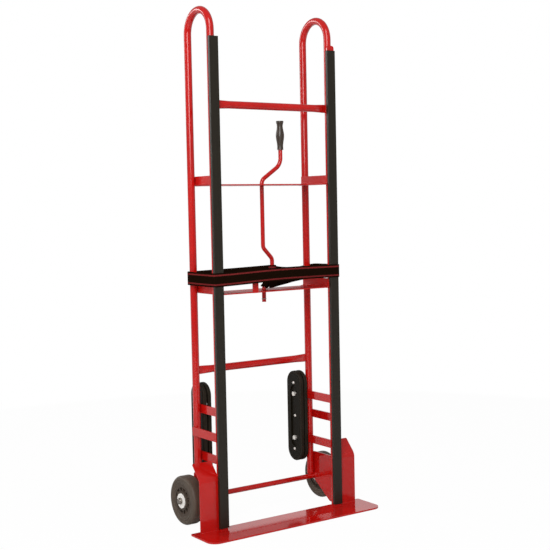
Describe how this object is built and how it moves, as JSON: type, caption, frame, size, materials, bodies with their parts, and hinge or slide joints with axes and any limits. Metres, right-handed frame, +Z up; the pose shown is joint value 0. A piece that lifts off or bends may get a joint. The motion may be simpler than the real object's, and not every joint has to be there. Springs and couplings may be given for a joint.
{
  "type": "appliance_hand_truck",
  "caption": "Tall appliance hand truck with loop handles, padded rails, toe plate, wheels, stair climbers and a crank-tightened load belt",
  "frame": {"origin": "On the floor, below the middle of the truck's bounding box", "axes": "+Z up along the rails, +X to the right as seen from the load side, +Y from the load side to the back; the toe plate points to -Y"},
  "size_m": [0.618, 0.3032, 1.5238],
  "materials": {
    "red_paint": "glossy baked enamel",
    "black_vinyl": "soft extruded vinyl, low sheen",
    "tyre_rubber": "moulded rubber, dull",
    "wheel_black": "black enamel",
    "zinc_steel": "bright zinc plate",
    "woven_belt": "woven polyester webbing, two red stripes",
    "climber_rubber": "moulded rubber",
    "climber_black": "black enamel",
    "grip_rubber": "moulded soft plastic, satin"
  },
  "bodies": {
    "frame": {"side_tube_right": "red_paint", "side_tube_left": "red_paint", "rail_bar_right": "red_paint", "rail_bar_left": "red_paint", "vinyl_strip_right": "black_vinyl", "vinyl_strip_left": "black_vinyl", "top_crossbar": "red_paint", "low_crossbar": "red_paint", "upper_shelf": "red_paint", "lower_shelf": "red_paint", "belt_keeper": "red_paint", "upper_rung_right": "red_paint", "upper_rung_left": "red_paint", "middle_rung_right": "red_paint", "middle_rung_left": "red_paint", "lower_rung_right": "red_paint", "lower_rung_left": "red_paint", "toe_plate": "red_paint", "wheel_plate_right": "red_paint", "wheel_plate_left": "red_paint", "fender_right": "red_paint", "fender_left": "red_paint", "axle": "red_paint", "axle_washers": "zinc_steel", "axle_cap_nuts": "zinc_steel", "climber_inner_belt_right": "climber_rubber", "climber_inner_belt_left": "climber_rubber", "climber_outer_belt_right": "climber_rubber", "climber_outer_belt_left": "climber_rubber", "climber_face_plate_right": "climber_black", "climber_face_plate_left": "climber_black", "climber_back_plate_right": "climber_black", "climber_back_plate_left": "climber_black", "climber_mount_bar_right": "climber_black", "climber_mount_bar_left": "climber_black", "climber_rivets": "zinc_steel", "climber_bolts": "zinc_steel", "climber_nuts": "zinc_steel", "climber_spacers": "zinc_steel", "belt_loop": "woven_belt", "belt_left_run": "woven_belt", "belt_right_run": "woven_belt", "belt_tail": "woven_belt"},
    "right_wheel": {"tyre_right": "tyre_rubber", "wheel_core_right": "wheel_black", "wheel_bearing_right": "zinc_steel"},
    "left_wheel": {"tyre_left": "tyre_rubber", "wheel_core_left": "wheel_black", "wheel_bearing_left": "zinc_steel"},
    "right_upper_roller": {"climber_upper_roller_right": "climber_black"},
    "right_lower_roller": {"climber_lower_roller_right": "climber_black"},
    "left_upper_roller": {"climber_upper_roller_left": "climber_black"},
    "left_lower_roller": {"climber_lower_roller_left": "climber_black"},
    "crank": {"crank_rod": "red_paint", "crank_grip": "grip_rubber", "crank_ring": "zinc_steel", "belt_winding": "woven_belt", "belt_bend_wrap": "woven_belt"}
  },
  "joints": [
    {"name": "right_wheel_spin", "type": "hinge", "parent": "frame", "child": "right_wheel", "pos_m": [0.2499, 0.0786, 0.073], "axis": [1, 0, 0], "continuous": true},
    {"name": "left_wheel_spin", "type": "hinge", "parent": "frame", "child": "left_wheel", "pos_m": [-0.2499, 0.0786, 0.073], "axis": [1, 0, 0], "continuous": true},
    {"name": "right_upper_roller_spin", "type": "hinge", "parent": "frame", "child": "right_upper_roller", "pos_m": [0.1796, 0.1086, 0.377], "axis": [1, 0, 0], "continuous": true},
    {"name": "right_lower_roller_spin", "type": "hinge", "parent": "frame", "child": "right_lower_roller", "pos_m": [0.1796, 0.1086, 0.163], "axis": [1, 0, 0], "continuous": true},
    {"name": "left_upper_roller_spin", "type": "hinge", "parent": "frame", "child": "left_upper_roller", "pos_m": [-0.1796, 0.1086, 0.377], "axis": [1, 0, 0], "continuous": true},
    {"name": "left_lower_roller_spin", "type": "hinge", "parent": "frame", "child": "left_lower_roller", "pos_m": [-0.1796, 0.1086, 0.163], "axis": [1, 0, 0], "continuous": true},
    {"name": "crank_turn", "type": "hinge", "parent": "frame", "child": "crank", "pos_m": [0, 0.0221, 0.8], "axis": [0, 0, 1], "continuous": true, "deforming": ["belt_left_run", "belt_right_run", "belt_tail"]}
  ],
  "couplings": [
    {"joint": "right_lower_roller_spin", "follows": "right_upper_roller_spin", "ratio": 1},
    {"joint": "left_lower_roller_spin", "follows": "left_upper_roller_spin", "ratio": 1}
  ]
}
